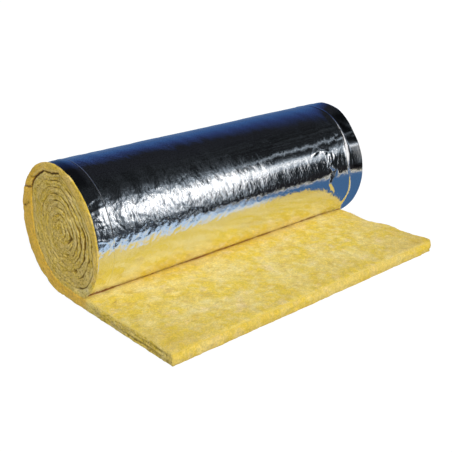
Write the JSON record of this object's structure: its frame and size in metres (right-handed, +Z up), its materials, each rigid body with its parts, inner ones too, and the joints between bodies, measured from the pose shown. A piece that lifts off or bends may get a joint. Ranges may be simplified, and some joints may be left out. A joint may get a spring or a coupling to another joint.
{
  "type": "insulation roll",
  "caption": "Foil-faced glass wool insulation blanket wound into a roll lying on its side, with its outer stretch unrolled flat in front; insulates ducts, walls and roofs.",
  "frame": {"origin": "on the floor, at the middle of the part's footprint", "axes": "+X along the roll's axis, +Z up, and the unrolled flap runs towards -Y"},
  "size_m": [1.219, 0.791, 0.4419],
  "materials": {
    "glass_wool": "matted yellow glass fibre, fully matt",
    "foil": "bright crinkled foil laminate"
  },
  "bodies": {
    "root": {"wool_blanket": "glass_wool", "foil_facing": "foil"}
  },
  "joints": []
}
